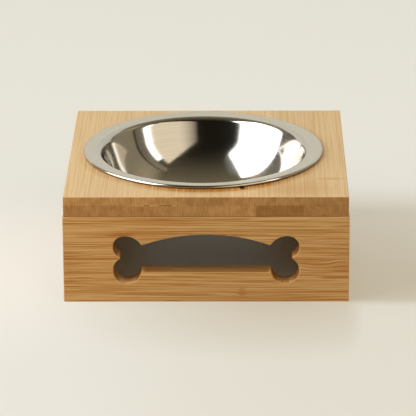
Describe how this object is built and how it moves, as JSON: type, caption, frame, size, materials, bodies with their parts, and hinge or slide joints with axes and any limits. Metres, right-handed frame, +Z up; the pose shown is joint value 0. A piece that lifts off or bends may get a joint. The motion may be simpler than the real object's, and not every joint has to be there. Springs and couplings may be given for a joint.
{
  "type": "pet bowl with stand",
  "caption": "Square bamboo box stand with bone-shaped grip cut-outs, carrying a loose flanged steel bowl that lifts out of a round hole in its top.",
  "frame": {"origin": "on the floor under the middle of the stand", "axes": "+Z up, the front with its cut-out looks along -Y, +X to the right seen from the front"},
  "size_m": [0.175, 0.175, 0.0703],
  "materials": {
    "steel": "satin flange, mirror-polished inside",
    "bamboo": "pressed bamboo strips, sanded and clear matt lacquer",
    "dowel_wood": "plain turned beech"
  },
  "bodies": {
    "stand": {"top_board": "bamboo", "front_panel": "bamboo", "rear_panel": "bamboo", "left_panel": "bamboo", "right_panel": "bamboo", "front_left_lower_corner_dowel": "dowel_wood", "front_left_upper_corner_dowel": "dowel_wood", "front_panel_left_dowel": "dowel_wood", "front_panel_right_dowel": "dowel_wood", "front_right_lower_corner_dowel": "dowel_wood", "front_right_upper_corner_dowel": "dowel_wood", "left_panel_front_dowel": "dowel_wood", "left_panel_rear_dowel": "dowel_wood", "rear_left_lower_corner_dowel": "dowel_wood", "rear_left_upper_corner_dowel": "dowel_wood", "rear_panel_left_dowel": "dowel_wood", "rear_panel_right_dowel": "dowel_wood", "rear_right_lower_corner_dowel": "dowel_wood", "rear_right_upper_corner_dowel": "dowel_wood", "right_panel_front_dowel": "dowel_wood", "right_panel_rear_dowel": "dowel_wood"},
    "bowl": {"bowl": "steel"}
  },
  "joints": [
    {"name": "bowl_lift", "type": "slide", "parent": "stand", "child": "bowl", "axis": [0, 0, 1], "range_m": [0, 0.08]}
  ]
}
